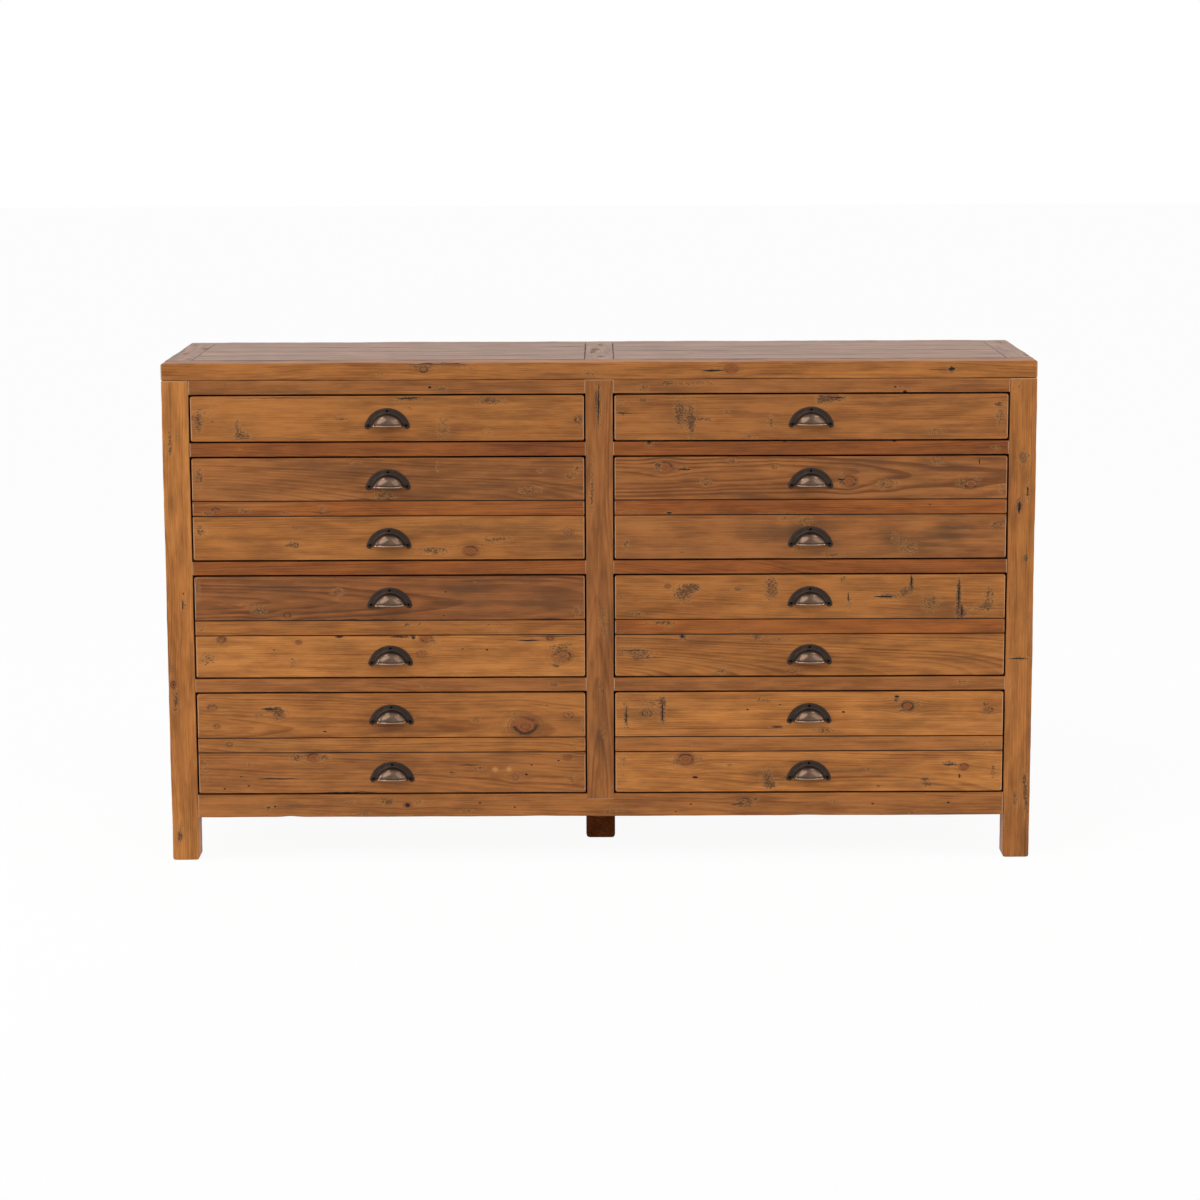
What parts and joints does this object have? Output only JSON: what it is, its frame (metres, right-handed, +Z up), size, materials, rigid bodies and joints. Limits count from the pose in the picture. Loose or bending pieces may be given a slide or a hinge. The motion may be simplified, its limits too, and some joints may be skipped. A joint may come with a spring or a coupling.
{
  "type": "seed storage cabinet",
  "caption": "Floor-standing pine cabinet with two columns of drawers on cup pulls, for storing seeds, papers or tools.",
  "frame": {"origin": "on the floor, under the middle of the whole cabinet with its pulls", "axes": "+X to the cabinet's right as seen from the front, -Y out of the drawer fronts, +Z up"},
  "size_m": [1.6, 0.4868, 0.93],
  "materials": {
    "pine": "waxed, worn, orange brown",
    "raw_pine": "planed, unwaxed",
    "plywood": "sanded",
    "bronze": "dark bronzed, rubbed bright on the high spots",
    "steel": "blackened"
  },
  "bodies": {
    "cabinet": {"leg_front_left": "pine", "leg_front_right": "pine", "leg_rear_left": "pine", "leg_rear_right": "pine", "centre_foot": "pine", "centre_stile": "pine", "front_rails": "pine", "front_bottom_rail": "pine", "side_rails": "pine", "side_panel_left": "pine", "side_panel_right": "pine", "back_rails": "raw_pine", "back_boards": "raw_pine", "centre_partition": "raw_pine", "centre_bearer": "raw_pine", "drawer_runners": "raw_pine", "drawer_stops": "raw_pine", "top_frame": "pine", "top_planks": "pine", "top_battens": "raw_pine"},
    "drawer_left_1": {"drawer_left_1_front": "pine", "drawer_left_1_box": "raw_pine", "drawer_left_1_bottom": "plywood", "drawer_left_1_pulls": "bronze", "drawer_left_1_screws": "steel"},
    "drawer_left_2": {"drawer_left_2_front": "pine", "drawer_left_2_box": "raw_pine", "drawer_left_2_bottom": "plywood", "drawer_left_2_pulls": "bronze", "drawer_left_2_screws": "steel"},
    "drawer_left_3": {"drawer_left_3_front": "pine", "drawer_left_3_box": "raw_pine", "drawer_left_3_bottom": "plywood", "drawer_left_3_pulls": "bronze", "drawer_left_3_screws": "steel"},
    "drawer_left_4": {"drawer_left_4_front": "pine", "drawer_left_4_box": "raw_pine", "drawer_left_4_bottom": "plywood", "drawer_left_4_pulls": "bronze", "drawer_left_4_screws": "steel"},
    "drawer_right_1": {"drawer_right_1_front": "pine", "drawer_right_1_box": "raw_pine", "drawer_right_1_bottom": "plywood", "drawer_right_1_pulls": "bronze", "drawer_right_1_screws": "steel"},
    "drawer_right_2": {"drawer_right_2_front": "pine", "drawer_right_2_box": "raw_pine", "drawer_right_2_bottom": "plywood", "drawer_right_2_pulls": "bronze", "drawer_right_2_screws": "steel"},
    "drawer_right_3": {"drawer_right_3_front": "pine", "drawer_right_3_box": "raw_pine", "drawer_right_3_bottom": "plywood", "drawer_right_3_pulls": "bronze", "drawer_right_3_screws": "steel"},
    "drawer_right_4": {"drawer_right_4_front": "pine", "drawer_right_4_box": "raw_pine", "drawer_right_4_bottom": "plywood", "drawer_right_4_pulls": "bronze", "drawer_right_4_screws": "steel"}
  },
  "joints": [
    {"name": "drawer_left_1_slide", "type": "slide", "parent": "cabinet", "child": "drawer_left_1", "axis": [0, -1, 0], "range_m": [0, 0.3]},
    {"name": "drawer_left_2_slide", "type": "slide", "parent": "cabinet", "child": "drawer_left_2", "axis": [0, -1, 0], "range_m": [0, 0.3]},
    {"name": "drawer_left_3_slide", "type": "slide", "parent": "cabinet", "child": "drawer_left_3", "axis": [0, -1, 0], "range_m": [0, 0.3]},
    {"name": "drawer_left_4_slide", "type": "slide", "parent": "cabinet", "child": "drawer_left_4", "axis": [0, -1, 0], "range_m": [0, 0.3]},
    {"name": "drawer_right_1_slide", "type": "slide", "parent": "cabinet", "child": "drawer_right_1", "axis": [0, -1, 0], "range_m": [0, 0.3]},
    {"name": "drawer_right_2_slide", "type": "slide", "parent": "cabinet", "child": "drawer_right_2", "axis": [0, -1, 0], "range_m": [0, 0.3]},
    {"name": "drawer_right_3_slide", "type": "slide", "parent": "cabinet", "child": "drawer_right_3", "axis": [0, -1, 0], "range_m": [0, 0.3]},
    {"name": "drawer_right_4_slide", "type": "slide", "parent": "cabinet", "child": "drawer_right_4", "axis": [0, -1, 0], "range_m": [0, 0.3]}
  ]
}
